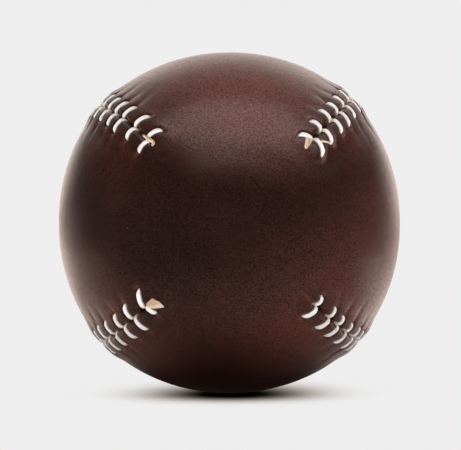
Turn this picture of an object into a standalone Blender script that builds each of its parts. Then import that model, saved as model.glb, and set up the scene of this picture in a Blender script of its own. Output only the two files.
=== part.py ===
"""Baseball of the lemon-peel kind: a cushioned cork centre, wound with yarn, in one piece
of leather that is slit along four meridians and laced shut.

Metres, +Z up. The origin is the middle of the ball. The smooth face of the cover looks
along -Y and a little up, and the four seams run from it to the back pole.
"""

import math

import bmesh
import bpy
from mathutils import Matrix, Vector

# The ball and its cover
PANEL_RADIUS = 0.0363
COVER_THICKNESS = 0.0020
COVER_SEGMENTS = 40
COVER_RINGS = 20
FACE_TILT = math.radians(4.5)
RESTING_FLAT_DEPTH = 0.0005
CUT_MARGIN = 0.0012

# The seams: azimuth at the face, azimuth on the sides and polar angles of the stitches that
# were set by eye nearest the face, all in degrees, then the number of stitches. A seam swings
# a little as it leaves the face.
SEAMS = {
    "upper_right": (45.1, 45.8, (40.5, 46.2, 53.4, 60.0, 67.3, 76.0, 83.0), 20),
    "upper_left": (134.2, 137.6, (39.4, 47.8, 55.8, 61.8, 68.7, 76.2), 20),
    "lower_left": (225.2, 223.4, (41.0, 48.1, 55.4, 63.2, 70.8, 78.6), 19),
    "lower_right": (316.1, 317.5, (41.0, 49.3, 55.8, 63.2, 71.0), 20),
}
SWING_FROM = math.radians(38)
SWING_TO = math.radians(84)
LAST_STITCH = 170.0
SLIT_LEAD = 0.0012
SLIT_STEPS = 24
TIP_OPENING_RADIUS = 0.0012

# The thread: flat, drawn narrow where it passes through the leather
THREAD_WIDTH = 0.0010
NECK_WIDTH = 0.0006
THREAD_THICKNESS = 0.0004
THREAD_CLEARANCE = 0.00015
HOLE_CLEARANCE = 0.00022
HOLE_OFFSET = 0.0034
HOLE_LEAD = 0.0006
DIVE_SPLIT = 0.0011
ARM_BULGE = 0.0007
ARM_BULGE_OFFSET = 0.0015
TAIL_LENGTH = 0.0020

# The leather rises over the thread that runs beneath it
UNDER_ROOM = 0.0002
RIDGE_HEIGHT = THREAD_THICKNESS + 2 * UNDER_ROOM
RIDGE_HALF_WIDTH = 0.017
RIDGE_RISE = math.radians(18)

# The centre and its windings, from the middle outwards
CORK_RADIUS = 0.0103
BLACK_RUBBER_THICKNESS = 0.0039
GASKET_THICKNESS = 0.0012
RED_RUBBER_THICKNESS = 0.0023
SECOND_WOOL_THICKNESS = 0.0019
THIRD_WOOL_THICKNESS = 0.0022
COTTON_THICKNESS = 0.0007
LAYER_GAP = 0.0003
COVER_GAP = 0.0005
YARN_CHANNEL_RADIUS = 0.0012
LAYER_SEGMENTS = 20
LAYER_RINGS = 10

BLACK_INNER = CORK_RADIUS + LAYER_GAP
BLACK_OUTER = BLACK_INNER + BLACK_RUBBER_THICKNESS
RED_INNER = BLACK_OUTER + LAYER_GAP
RED_OUTER = RED_INNER + RED_RUBBER_THICKNESS
COVER_INNER = PANEL_RADIUS - COVER_THICKNESS
COTTON_OUTER = COVER_INNER - COVER_GAP
COTTON_INNER = COTTON_OUTER - COTTON_THICKNESS
THIRD_OUTER = COTTON_INNER - LAYER_GAP
THIRD_INNER = THIRD_OUTER - THIRD_WOOL_THICKNESS
SECOND_OUTER = THIRD_INNER - LAYER_GAP
SECOND_INNER = SECOND_OUTER - SECOND_WOOL_THICKNESS
FIRST_OUTER = SECOND_INNER - LAYER_GAP
FIRST_INNER = RED_OUTER + LAYER_GAP

# Where the thread's middle runs, below the leather and above it
RUN_RADIUS = COVER_INNER + UNDER_ROOM - THREAD_THICKNESS / 2
ARM_HEIGHT = THREAD_CLEARANCE + THREAD_THICKNESS / 2

for old in list(bpy.data.objects):
    bpy.data.objects.remove(old)
parts = bpy.data.collections.new("baseball")
cutters = bpy.data.collections.new("baseball cutters")
for collection in (parts, cutters):
    bpy.context.scene.collection.children.link(collection)

# Everything turns with the ball, so that its face looks a little up
ball = bpy.data.objects.new("ball", None)
parts.objects.link(ball)
ball.rotation_euler.x = -FACE_TILT


def material(name, colour, roughness):
    made = bpy.data.materials.new(name)
    made.use_nodes = True
    shader = made.node_tree.nodes["Principled BSDF"]
    shader.inputs["Base Color"].default_value = (*colour, 1.0)
    shader.inputs["Roughness"].default_value = roughness
    return made


CORK = material("cork", (0.30, 0.17, 0.08), 0.9)
BLACK_RUBBER = material("black rubber", (0.015, 0.015, 0.016), 0.7)
RED_RUBBER = material("red rubber", (0.30, 0.03, 0.02), 0.6)
GREY_WOOL = material("grey wool", (0.28, 0.27, 0.26), 1.0)
WHITE_WOOL = material("white wool", (0.72, 0.69, 0.62), 1.0)
COTTON = material("cotton", (0.80, 0.77, 0.70), 0.9)
LEATHER = material("leather", (0.055, 0.022, 0.016), 0.45)
THREAD = material("waxed thread", (0.85, 0.82, 0.76), 0.6)


def add_part(name, mesh, finish):
    """One piece of the ball, in the ball's own frame."""
    obj = bpy.data.objects.new(name, mesh)
    parts.objects.link(obj)
    obj.parent = ball
    mesh.materials.append(finish)
    return obj


def cut(obj, name, mesh):
    """Take a cutter's shape out of a piece."""
    cutter = bpy.data.objects.new(name, mesh)
    cutters.objects.link(cutter)
    cutter.hide_render = True
    cutter.display_type = "WIRE"
    boolean = obj.modifiers.new(name, "BOOLEAN")
    boolean.operation = "DIFFERENCE"
    boolean.solver = "EXACT"
    boolean.object = cutter
    return cutter


def mesh_from(name, form):
    mesh = bpy.data.meshes.new(name)
    form.to_mesh(mesh)
    form.free()
    return mesh


def turned(name, profile, finish, closed=False):
    """A solid turned about the ball's Y axis from (radius, y) points."""
    mesh = bpy.data.meshes.new(name)
    points = [(radius, along, 0.0) for radius, along in profile]
    edges = [(i, i + 1) for i in range(len(points) - 1)]
    if closed:
        edges.append((len(points) - 1, 0))
    mesh.from_pydata(points, edges, [])
    obj = add_part(name, mesh, finish)
    screw = obj.modifiers.new("turn", "SCREW")
    screw.axis = "Y"
    screw.steps = LAYER_SEGMENTS
    screw.render_steps = LAYER_SEGMENTS
    screw.use_merge_vertices = True
    screw.merge_threshold = 1e-5
    screw.use_normal_flip = True
    return obj


def arc(radius, start, end):
    """Points of a circle from one polar angle to another, 0 at the face and pi at the back,
    on the rings that all layers share."""
    ring = math.pi / LAYER_RINGS
    low, high = sorted((start, end))
    between = [i * ring for i in range(1, LAYER_RINGS) if low < i * ring < high]
    if start > end:
        between.reverse()
    points = []
    for angle in (start, *between, end):
        points.append((radius * math.sin(angle), -radius * math.cos(angle)))
    return points


def half_shell(name, inner, outer, facing, split, finish):
    """Half a hollow ball, facing 1 for the back and -1 for the face, cut at a distance from
    the middle."""
    profile = arc(outer, 0.0, math.acos(split / outer))
    profile += arc(inner, math.acos(split / inner), 0.0)
    if facing > 0:
        profile = [(radius, -along) for radius, along in reversed(profile)]
    return turned(name, profile, finish)


def winding(name, inner, outer, finish):
    """A wound layer, with a narrow channel at the back where the yarn's end comes up."""
    profile = arc(outer, 0.0, math.pi - math.asin(YARN_CHANNEL_RADIUS / outer))
    profile += arc(inner, math.pi - math.asin(YARN_CHANNEL_RADIUS / inner), 0.0)
    return turned(name, profile, finish)


# The cork, in two black rubber cups with a red gasket at their joint
turned("cork_centre", arc(CORK_RADIUS, 0.0, math.pi), CORK)
cup_split = GASKET_THICKNESS / 2 + LAYER_GAP
half_shell("black_rubber_cup_front", BLACK_INNER, BLACK_OUTER, -1, cup_split, BLACK_RUBBER)
half_shell("black_rubber_cup_back", BLACK_INNER, BLACK_OUTER, 1, cup_split, BLACK_RUBBER)
gasket_profile = [
    (BLACK_INNER, -GASKET_THICKNESS / 2),
    (BLACK_OUTER, -GASKET_THICKNESS / 2),
    (BLACK_OUTER, GASKET_THICKNESS / 2),
    (BLACK_INNER, GASKET_THICKNESS / 2),
]
turned("red_rubber_gasket", gasket_profile, RED_RUBBER, closed=True)

# The red rubber cushion, two more cups over the black ones
half_shell("red_rubber_cup_front", RED_INNER, RED_OUTER, -1, LAYER_GAP / 2, RED_RUBBER)
half_shell("red_rubber_cup_back", RED_INNER, RED_OUTER, 1, LAYER_GAP / 2, RED_RUBBER)

# Three windings of wool yarn and one of cotton
winding("first_wool_winding", FIRST_INNER, FIRST_OUTER, GREY_WOOL)
winding("second_wool_winding", SECOND_INNER, SECOND_OUTER, WHITE_WOOL)
winding("third_wool_winding", THIRD_INNER, THIRD_OUTER, GREY_WOOL)
winding("cotton_finish_winding", COTTON_INNER, COTTON_OUTER, COTTON)


def smooth_step(value, low, high):
    share = min(max((value - low) / (high - low), 0.0), 1.0)
    return share * share * (3 - 2 * share)


def seam_direction(seam, polar):
    """Unit vector to the seam at a polar angle from the face."""
    at_face, at_side = (math.radians(angle) for angle in SEAMS[seam][:2])
    azimuth = at_face + (at_side - at_face) * smooth_step(polar, SWING_FROM, SWING_TO)
    ring = math.sin(polar)
    return Vector((ring * math.cos(azimuth), -math.cos(polar), ring * math.sin(azimuth)))


def seam_frame(seam, polar):
    """Unit vectors outward, along the seam to the back, and across it."""
    outward = seam_direction(seam, polar)
    step = 1e-4
    along = seam_direction(seam, polar + step) - seam_direction(seam, polar - step)
    along.normalize()
    return outward, along, outward.cross(along)


def beside_seam(seam, polar, sideways):
    """Unit vector to the place at a distance beside the seam."""
    outward, _, across = seam_frame(seam, polar)
    angle = sideways / PANEL_RADIUS
    return outward * math.cos(angle) + across * math.sin(angle)


def stitch_angles(seam):
    """Polar angles of a seam's stitches: the first as sewn, the others evenly on to the back."""
    sewn, count = SEAMS[seam][2:]
    left = count - len(sewn)
    pitch = (LAST_STITCH - sewn[-1]) / left
    angles = [*sewn, *(sewn[-1] + pitch * (i + 1) for i in range(left))]
    return [math.radians(angle) for angle in angles]


ridge_full = min(stitch_angles(seam)[0] for seam in SEAMS)


def cover_radius(unit):
    """Outside radius of the leather: the panels, raised along the seams."""
    polar = math.acos(max(-1.0, min(1.0, -unit.y)))
    nearest = math.inf
    for seam in SEAMS:
        outward, _, across = seam_frame(seam, polar)
        if unit.dot(outward) > 0:
            nearest = min(nearest, abs(math.asin(unit.dot(across))) * PANEL_RADIUS)
    share = math.exp(-((nearest / RIDGE_HALF_WIDTH) ** 2))
    share *= smooth_step(polar, ridge_full - RIDGE_RISE, ridge_full)
    return PANEL_RADIUS + RIDGE_HEIGHT * share


def add_loft(form, sections):
    """A closed loft through sections of four corners each."""
    rows = [[form.verts.new(corner) for corner in section] for section in sections]
    for row, following in zip(rows, rows[1:]):
        for i in range(4):
            j = (i + 1) % 4
            form.faces.new((row[i], row[j], following[j], following[i]))
    form.faces.new(reversed(rows[0]))
    form.faces.new(rows[-1])
    bmesh.ops.recalc_face_normals(form, faces=form.faces)


def add_slit(form, seam):
    """The blade that parts the leather along a seam, from before its first stitch to the tips."""
    start = stitch_angles(seam)[0] - (DIVE_SPLIT / 2 + SLIT_LEAD) / PANEL_RADIUS
    end = math.pi - TIP_OPENING_RADIUS / 3 / PANEL_RADIUS
    half_width = THREAD_THICKNESS / 2 + THREAD_CLEARANCE
    bottom = COVER_INNER - CUT_MARGIN
    top = PANEL_RADIUS + RIDGE_HEIGHT + CUT_MARGIN
    sections = []
    for i in range(SLIT_STEPS + 1):
        polar = start + (end - start) * i / SLIT_STEPS
        near = beside_seam(seam, polar, -half_width)
        far = beside_seam(seam, polar, half_width)
        sections.append((near * bottom, far * bottom, far * top, near * top))
    add_loft(form, sections)


def add_holes(form, seam):
    """The awl's holes, a row on each side of the seam."""
    length = NECK_WIDTH + 2 * HOLE_CLEARANCE
    width = THREAD_THICKNESS + 2 * HOLE_CLEARANCE
    depth = COVER_THICKNESS + RIDGE_HEIGHT + 2 * CUT_MARGIN
    middle = PANEL_RADIUS + (RIDGE_HEIGHT - COVER_THICKNESS) / 2
    for angle in stitch_angles(seam):
        polar = angle - HOLE_LEAD / PANEL_RADIUS
        along = seam_frame(seam, polar)[1]
        for side in (1, -1):
            outward = beside_seam(seam, polar, side * HOLE_OFFSET)
            across = outward.cross(along)
            turn = Matrix((along, across, outward)).transposed().to_4x4()
            size = Matrix.Diagonal((length, width, depth, 1.0))
            place = Matrix.Translation(outward * middle) @ turn @ size
            bmesh.ops.create_cube(form, size=1.0, matrix=place)


# The leather cover: one piece, raised along its seams
cover_form = bmesh.new()
bmesh.ops.create_uvsphere(
    cover_form, u_segments=COVER_SEGMENTS, v_segments=COVER_RINGS, radius=PANEL_RADIUS
)
bmesh.ops.rotate(cover_form, verts=cover_form.verts, matrix=Matrix.Rotation(math.pi / 2, 3, "X"))
for vertex in cover_form.verts:
    unit = vertex.co.normalized()
    vertex.co = unit * cover_radius(unit)
cover_mesh = mesh_from("leather_cover", cover_form)
cover_mesh.shade_smooth()
cover = add_part("leather_cover", cover_mesh, LEATHER)
hollow = cover.modifiers.new("leather", "SOLIDIFY")
hollow.thickness = COVER_THICKNESS
hollow.offset = -1.0
hollow.use_even_offset = True

# Its four petals stop short of each other at the back pole
tip_form = bmesh.new()
bmesh.ops.create_cone(
    tip_form,
    cap_ends=True,
    segments=12,
    radius1=TIP_OPENING_RADIUS,
    radius2=TIP_OPENING_RADIUS,
    depth=COVER_THICKNESS + RIDGE_HEIGHT + 2 * CUT_MARGIN,
)
tip_cutter = cut(cover, "tip_opening", mesh_from("tip_opening", tip_form))
tip_cutter.parent = ball
tip_cutter.rotation_euler.x = math.pi / 2
tip_cutter.location.y = PANEL_RADIUS + (RIDGE_HEIGHT - COVER_THICKNESS) / 2

# It is slit between the petals and punched for the thread
for seam in SEAMS:
    seam_form = bmesh.new()
    add_slit(seam_form, seam)
    add_holes(seam_form, seam)
    seam_cutter = cut(cover, "slit_" + seam, mesh_from("slit_" + seam, seam_form))
    seam_cutter.parent = ball

# It rests on a small flat, level whatever way the face looks
ground_form = bmesh.new()
bmesh.ops.create_cube(ground_form, size=PANEL_RADIUS)
ground = cut(cover, "ground", mesh_from("ground", ground_form))
ground.location.z = RESTING_FLAT_DEPTH - PANEL_RADIUS - PANEL_RADIUS / 2


def thread_stations(seam):
    """The thread's middle, the seam's direction and the half width at each bend: up through a
    hole, over the leather, down the slit, under the other side, and up again."""
    stations = []

    def add(polar, sideways, width, on_top):
        unit = beside_seam(seam, polar, sideways)
        radius = cover_radius(unit) + ARM_HEIGHT if on_top else RUN_RADIUS
        stations.append((unit * radius, seam_frame(seam, polar)[1], width / 2))

    angles = stitch_angles(seam)
    hole_lead = HOLE_LEAD / PANEL_RADIUS
    add(angles[0] - hole_lead, HOLE_OFFSET + TAIL_LENGTH, NECK_WIDTH, False)
    for angle in angles:
        for side in (1, -1):
            hole = angle - hole_lead
            dive = angle - side * DIVE_SPLIT / 2 / PANEL_RADIUS
            bulge = max(hole, dive) + ARM_BULGE / PANEL_RADIUS
            add(hole, side * HOLE_OFFSET, NECK_WIDTH, False)
            add(hole, side * HOLE_OFFSET, NECK_WIDTH, True)
            add(bulge, side * ARM_BULGE_OFFSET, THREAD_WIDTH, True)
            add(dive, 0.0, NECK_WIDTH, True)
            add(dive, 0.0, NECK_WIDTH, False)
    add(dive, TAIL_LENGTH, NECK_WIDTH, False)
    return stations


def ribbon_sections(stations):
    """Four corners at each station, with the flat of the thread mitred round its bends."""
    middles = [middle for middle, _, _ in stations]
    sections = []
    for i, (middle, along, half_width) in enumerate(stations):
        runs = []
        if i > 0:
            runs.append(middle - middles[i - 1])
        if i + 1 < len(middles):
            runs.append(middles[i + 1] - middle)
        normals = [along.cross(run).normalized() for run in runs]
        mitre = sum(normals, Vector()).normalized()
        mitre *= THREAD_THICKNESS / 2 / mitre.dot(normals[0])
        reach = along * half_width
        near, far = middle - reach, middle + reach
        sections.append((near - mitre, far - mitre, far + mitre, near + mitre))
    return sections


def least_gap(stations):
    """Least clear distance of the thread to itself, on points along runs that don't adjoin."""
    share = 8
    window = 15 * share
    samples = []
    for run, (start, end) in enumerate(zip(stations, stations[1:])):
        samples += [(run, start[0].lerp(end[0], i / share)) for i in range(share)]
    gaps = []
    for here, (run, point) in enumerate(samples):
        for other_run, other in samples[here + 1 : here + window]:
            if other_run > run + 2:
                gaps.append((other - point).length - NECK_WIDTH)
    return min(gaps)


# One unbroken thread laces each seam
for seam in SEAMS:
    name = "seam_thread_" + seam
    stations = thread_stations(seam)
    thread_form = bmesh.new()
    add_loft(thread_form, ribbon_sections(stations))
    add_part(name, mesh_from(name, thread_form), THREAD)
    print(f"{name}: least gap to itself {least_gap(stations) * 1000:.2f} mm")
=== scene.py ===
"""Baseball of the lemon-peel kind: a cushioned cork centre, wound with yarn, in one piece of
leather that is slit along four meridians and laced shut with flat waxed thread.

Metres, +Z up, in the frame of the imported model.
"""

import math
import random

import bmesh
import bpy
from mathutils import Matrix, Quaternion, Vector
from mathutils.geometry import interpolate_bezier


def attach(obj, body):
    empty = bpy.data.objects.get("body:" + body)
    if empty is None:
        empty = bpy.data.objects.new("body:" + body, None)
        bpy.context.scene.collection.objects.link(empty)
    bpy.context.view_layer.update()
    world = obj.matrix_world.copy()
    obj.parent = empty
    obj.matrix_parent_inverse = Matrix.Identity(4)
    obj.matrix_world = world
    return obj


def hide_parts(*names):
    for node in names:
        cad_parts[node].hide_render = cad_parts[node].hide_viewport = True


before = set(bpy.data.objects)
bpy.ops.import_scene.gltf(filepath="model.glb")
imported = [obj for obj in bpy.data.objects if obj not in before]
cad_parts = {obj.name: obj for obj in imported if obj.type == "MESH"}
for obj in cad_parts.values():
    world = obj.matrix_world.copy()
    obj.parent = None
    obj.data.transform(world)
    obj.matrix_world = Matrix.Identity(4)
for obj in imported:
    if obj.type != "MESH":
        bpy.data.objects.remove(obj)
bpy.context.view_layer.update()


# The centre: a ball of agglomerated cork in two cups of black rubber, with a red rubber
# gasket at their joint and a cushion of two red rubber cups moulded over them. These are the
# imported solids, which get their finishes here.

MM = 0.001


def operator_pair(operation):
    """A sum of two values, and its reflected form."""

    def forward(self, other):
        return self.plan.maths(operation, self, other)

    def reflected(self, other):
        return self.plan.maths(operation, other, self)

    return forward, reflected


class Value:
    """A socket's value, for sums that become nodes."""

    __add__, __radd__ = operator_pair("ADD")
    __sub__, __rsub__ = operator_pair("SUBTRACT")
    __mul__, __rmul__ = operator_pair("MULTIPLY")
    __truediv__, __rtruediv__ = operator_pair("DIVIDE")
    __pow__, __rpow__ = operator_pair("POWER")

    def __init__(self, plan, socket):
        self.plan = plan
        self.socket = socket

    def other(self, output):
        """Another output of the same node."""
        return Value(self.plan, self.socket.node.outputs[output])


class Plan:
    """A node tree that is written as sums and calls."""

    def __init__(self, tree):
        self.tree = tree

    def node(self, kind, sockets=None, output=0, stops=(), **settings):
        """A node of a kind: its settings and a ramp's stops are set first, then its sockets."""
        made = self.tree.nodes.new(kind)
        for name, setting in settings.items():
            setattr(made, name, setting)
        if stops:
            elements = made.color_ramp.elements
            while len(elements) < len(stops):
                elements.new(1.0)
            for element, (position, shade) in zip(elements, stops):
                element.position = position
                element.color = (*shade, 1.0)
        self.feed(made, sockets or {})
        return Value(self, made.outputs[output]) if made.outputs else None

    def feed(self, made, sockets):
        """Links a node's sockets to values or sets them. A list holds several links."""
        for key, value in sockets.items():
            socket = made.inputs[key]
            for part in value if isinstance(value, list) else [value]:
                if isinstance(part, Value):
                    self.tree.links.new(part.socket, socket)
                elif socket.type == "RGBA":
                    socket.default_value = (*part, 1.0)
                else:
                    socket.default_value = part

    def maths(self, operation, *values, clamp=False):
        sockets = dict(enumerate(values))
        return self.node("ShaderNodeMath", sockets, operation=operation, use_clamp=clamp)

    def vector(self, operation, *values, output=0):
        sockets = dict(enumerate(values))
        return self.node("ShaderNodeVectorMath", sockets, output, operation=operation)

    def scaled(self, direction, length):
        sockets = {0: direction, "Scale": length}
        return self.node("ShaderNodeVectorMath", sockets, operation="SCALE")

    def point(self, right, deep, up):
        return self.node("ShaderNodeCombineXYZ", {0: right, 1: deep, 2: up})

    def split(self, place):
        """The three parts of a place or direction."""
        parts = self.node("ShaderNodeSeparateXYZ", {0: place})
        return parts, parts.other("Y"), parts.other("Z")

    def ramp(self, value, low, high):
        """0 below low, 1 above high and smooth between them."""
        sockets = {0: value, 1: low, 2: high}
        return self.node("ShaderNodeMapRange", sockets, interpolation_type="SMOOTHSTEP")

    def bell(self, value, width):
        """1 where a value is 0, falling off over a width."""
        share = value / width
        return self.maths("EXPONENT", 0.0 - share * share)

    def blend(self, factor, first, second):
        """A mix of two colours."""
        sockets = {0: factor, 6: first, 7: second}
        return self.node("ShaderNodeMix", sockets, output=2, data_type="RGBA")

    def noise(self, place, size, detail=3.0, roughness=0.5):
        """Smooth noise from 0 to 1 with features of a size in metres."""
        sockets = {"Vector": place, "Scale": 1 / size, "Detail": detail, "Roughness": roughness}
        return self.node("ShaderNodeTexNoise", sockets)

    def cells(self, place, size, output=0, feature="F1"):
        """A pattern of cells of a size in metres."""
        sockets = {"Vector": place, "Scale": 1 / size}
        return self.node("ShaderNodeTexVoronoi", sockets, output, feature=feature)

    def bump(self, height, strength, distance):
        sockets = {"Strength": strength, "Distance": distance, "Height": height}
        return self.node("ShaderNodeBump", sockets)

    def attribute(self, name):
        """What a piece's mesh carries under a name."""
        return self.node("ShaderNodeAttribute", output="Fac", attribute_name=name)


def start_finish(name):
    """A new material, its plan, its shader and the place on the piece."""
    made = bpy.data.materials.new(name)
    made.use_nodes = True
    plan = Plan(made.node_tree)
    place = plan.node("ShaderNodeTexCoord", output="Object")
    return made, plan, made.node_tree.nodes["Principled BSDF"], place


def cork_finish():
    """Pressed granules of cork in several browns, with dark binder between them."""
    made, plan, shader, place = start_finish("pressed cork")
    granule_size = 1.6 * MM
    granules = plan.cells(place, granule_size, output="Color")
    tone = plan.node("ShaderNodeSeparateColor", {"Color": granules})
    stops = [(0.0, (0.14, 0.07, 0.03)), (0.45, (0.30, 0.17, 0.08)), (1.0, (0.46, 0.29, 0.15))]
    browns = plan.node("ShaderNodeValToRGB", {"Fac": tone}, stops=stops)
    edge = plan.cells(place, granule_size, feature="DISTANCE_TO_EDGE")
    binder = 1 - plan.ramp(edge, 0.0, 0.12)
    pores = plan.noise(place, size=0.4 * MM)
    looks = {
        "Base Color": plan.blend(binder * 0.8, browns, (0.09, 0.045, 0.02)),
        "Roughness": 0.82 + pores * 0.15,
        "Normal": plan.bump(pores * 0.4 - binder, 0.5, 0.3 * MM),
    }
    plan.feed(shader, looks)
    return made


def rubber_finish(name, fresh, bloomed):
    """Moulded rubber, with a dusty bloom and a fine pebble from the mould."""
    made, plan, shader, place = start_finish(name)
    bloom = plan.ramp(plan.noise(place, size=6.0 * MM, detail=5.0), 0.45, 0.75)
    pebble = plan.noise(place, size=0.5 * MM, detail=2.0)
    looks = {
        "Base Color": plan.blend(bloom, fresh, bloomed),
        "Roughness": 0.55 + bloom * 0.25,
        "Normal": plan.bump(pebble, 0.3, 0.1 * MM),
    }
    plan.feed(shader, looks)
    return made


def finish_nodes(finish, *nodes):
    for node in nodes:
        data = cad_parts[node].data
        data.materials.clear()
        data.materials.append(finish)


black_rubber = rubber_finish("black rubber", (0.012, 0.012, 0.013), (0.028, 0.027, 0.026))
red_rubber = rubber_finish("red rubber", (0.30, 0.028, 0.020), (0.36, 0.060, 0.045))
finish_nodes(cork_finish(), "cork_centre")
finish_nodes(black_rubber, "black_rubber_cup_front", "black_rubber_cup_back")
finish_nodes(red_rubber, "red_rubber_gasket", "red_rubber_cup_front", "red_rubber_cup_back")


# The windings: grey, white and grey wool yarn and a finish of fine cotton thread, each one
# strand that is wound tight in great circles. Every lap is turned a little against the one
# before and lies on top of it.

TURN = 2 * math.pi


def start_tree(name, inputs):
    """A geometry tree with named inputs: the number that each starts from, or its kind."""
    tree = bpy.data.node_groups.new(name, "GeometryNodeTree")
    tree.interface.new_socket("Geometry", in_out="OUTPUT", socket_type="NodeSocketGeometry")
    for title, value in inputs.items():
        kind = {int: "Int", float: "Float"}.get(type(value), value)
        socket = tree.interface.new_socket(title, in_out="INPUT", socket_type="NodeSocket" + kind)
        if kind != value:
            socket.default_value = value
    plan = Plan(tree)
    given = tree.nodes.new("NodeGroupInput")
    return plan, {title: Value(plan, given.outputs[title]) for title in inputs}


def end_tree(plan, made, finish):
    """The whole tree, which ends in a smooth mesh with its finish."""
    made = plan.node("GeometryNodeSetShadeSmooth", {"Geometry": made})
    made = plan.node("GeometryNodeRealizeInstances", {"Geometry": made})
    made = plan.node("GeometryNodeSetMaterial", {"Geometry": made, "Material": finish})
    plan.node("NodeGroupOutput", {"Geometry": made})
    return plan.tree


def stored(plan, geometry, **fields):
    """A geometry whose points carry named values."""
    for name, value in fields.items():
        sockets = {"Geometry": geometry, "Name": name, "Value": value}
        geometry = plan.node("GeometryNodeStoreNamedAttribute", sockets, domain="POINT")
    return geometry


def moved(plan, geometry, place):
    sockets = {"Geometry": geometry, "Position": place}
    return plan.node("GeometryNodeSetPosition", sockets)


def turned(plan, place, angle, axis):
    sockets = {"Vector": place, "Angle": angle}
    return plan.node("ShaderNodeVectorRotate", sockets, rotation_type=axis)


def winding_tree():
    """One strand in laps round a ball, from an inner to an outer radius."""
    inputs = {
        "Inner radius": 10 * MM,
        "Outer radius": 20 * MM,
        "Strand width": 1.0 * MM,
        "Laps": 100,
        "Points in a lap": 40,
        "Sides of strand": 6,
        "Turn of each lap": 0.1,
        "Sweeps": 5.0,
        "Filled early": 0.4,
        "Yarn": "Material",
    }
    plan, given = start_tree("wound yarn", inputs)
    width = given["Strand width"]
    path = plan.node("GeometryNodeCurvePrimitiveLine")
    count = given["Laps"] * given["Points in a lap"] + 1
    path = plan.node("GeometryNodeResampleCurve", {"Curve": path, "Count": count})
    lap = plan.node("GeometryNodeInputIndex") / given["Points in a lap"]
    progress = lap / given["Laps"]

    # The laps lean from upright to level and back, so that they cover the ball evenly
    level = plan.maths("PINGPONG", progress * given["Sweeps"], 1.0)
    upright = plan.maths("SQRT", 1 - level * level)
    reach = plan.maths("SINE", lap * TURN)
    circle = plan.point(plan.maths("COSINE", lap * TURN), reach * level, reach * upright)
    circle = turned(plan, circle, lap * given["Turn of each lap"] * TURN, "Z_AXIS")
    room = given["Outer radius"] - given["Inner radius"] - width
    radius = given["Inner radius"] + width * 0.5 + room * progress ** given["Filled early"]
    path = moved(plan, path, plan.scaled(circle, radius))
    path = stored(plan, path, length=lap * TURN * given["Outer radius"])

    ring = {"Resolution": given["Sides of strand"], "Radius": width * 0.5}
    strand = plan.node("GeometryNodeCurvePrimitiveCircle", ring)
    around = plan.node("GeometryNodeSplineParameter") * (2 * TURN)
    plies = {"ply_sine": plan.maths("SINE", around), "ply_cosine": plan.maths("COSINE", around)}
    strand = stored(plan, strand, **plies)
    sockets = {"Curve": path, "Profile Curve": strand, "Fill Caps": True}
    return end_tree(plan, plan.node("GeometryNodeCurveToMesh", sockets), given["Yarn"])


def linked(name, data):
    """A new object in the scene."""
    obj = bpy.data.objects.new(name, data)
    bpy.context.scene.collection.objects.link(obj)
    return obj


def grown(name, start, tree, values):
    """A piece at the origin with the plain mesh that a tree makes."""
    obj = linked(name, start)
    modifier = obj.modifiers.new(tree.name, "NODES")
    modifier.node_group = tree
    for socket in tree.interface.items_tree:
        if socket.in_out == "INPUT" and socket.name in values:
            modifier[socket.identifier] = values[socket.name]
    ready = obj.evaluated_get(bpy.context.evaluated_depsgraph_get())
    mesh = bpy.data.meshes.new_from_object(ready)
    mesh.name = name
    obj.modifiers.clear()
    obj.data = mesh
    return obj


def yarn_finish(name, pale, dark, ply_pitch, fleck):
    """Spun yarn: two plies that twist along it, loose fibres, flecks of another shade and painted
    shade in the grooves between the plies.
    """
    made, plan, shader, place = start_finish(name)
    twist = plan.attribute("length") * (TURN / ply_pitch)
    across = plan.attribute("ply_sine") * plan.maths("COSINE", twist)
    ply = across + plan.attribute("ply_cosine") * plan.maths("SINE", twist)
    # Painted shade in the grooves between the plies
    groove_shade = 1 - plan.ramp(ply, -1.0, -0.2)
    fibres = plan.noise(place, size=0.3 * MM, detail=3.0, roughness=0.7)
    flecks = plan.ramp(plan.noise(place, size=0.9 * MM, detail=2.0), 0.55, 0.75)
    tone = plan.blend(fibres, dark, pale)
    tone = plan.blend(flecks * 0.6, tone, fleck)
    tone = plan.blend(groove_shade * 0.55, tone, tuple(shade * 0.35 for shade in dark))
    looks = {
        "Base Color": tone,
        "Roughness": 0.78 + fibres * 0.2,
        "Normal": plan.bump(ply * 0.5 + fibres * 0.6, 0.6, 0.15 * MM),
    }
    plan.feed(shader, looks)
    return made


grey_wool = yarn_finish(
    "grey wool", (0.34, 0.33, 0.32), (0.18, 0.175, 0.17), 2.6 * MM, (0.50, 0.49, 0.47)
)
white_wool = yarn_finish(
    "white wool", (0.80, 0.77, 0.70), (0.60, 0.56, 0.48), 2.2 * MM, (0.48, 0.42, 0.33)
)
cotton = yarn_finish(
    "cotton thread", (0.84, 0.81, 0.74), (0.70, 0.66, 0.58), 0.9 * MM, (0.62, 0.55, 0.43)
)

# Each winding's radii and strand in millimetres, its laps, the points and sides of a lap, how
# far each lap is turned, its slot and its finish
WINDINGS = {
    "first_wool": (17.4, 28.1, 1.3, 180, 40, 6, 0.1131, "grey_wool", grey_wool),
    "second_wool": (28.4, 30.3, 1.1, 190, 40, 6, 0.0877, "white_wool", white_wool),
    "third_wool": (30.6, 32.8, 1.1, 200, 40, 6, 0.1213, "grey_wool", grey_wool),
    "cotton_finish": (33.1, 33.8, 0.4, 430, 48, 4, 0.0719, "cotton", cotton),
}
wound_yarn = winding_tree()
for name, (inner, outer, strand, laps, points, sides, turn, slot, finish) in WINDINGS.items():
    values = {
        "Inner radius": inner * MM,
        "Outer radius": outer * MM,
        "Strand width": strand * MM,
        "Laps": laps,
        "Points in a lap": points,
        "Sides of strand": sides,
        "Turn of each lap": turn,
        "Yarn": finish,
    }
    winding = grown(name + "_yarn", bpy.data.meshes.new(name), wound_yarn, values)
    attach(winding, "root")
    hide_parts(name + "_winding")


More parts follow.
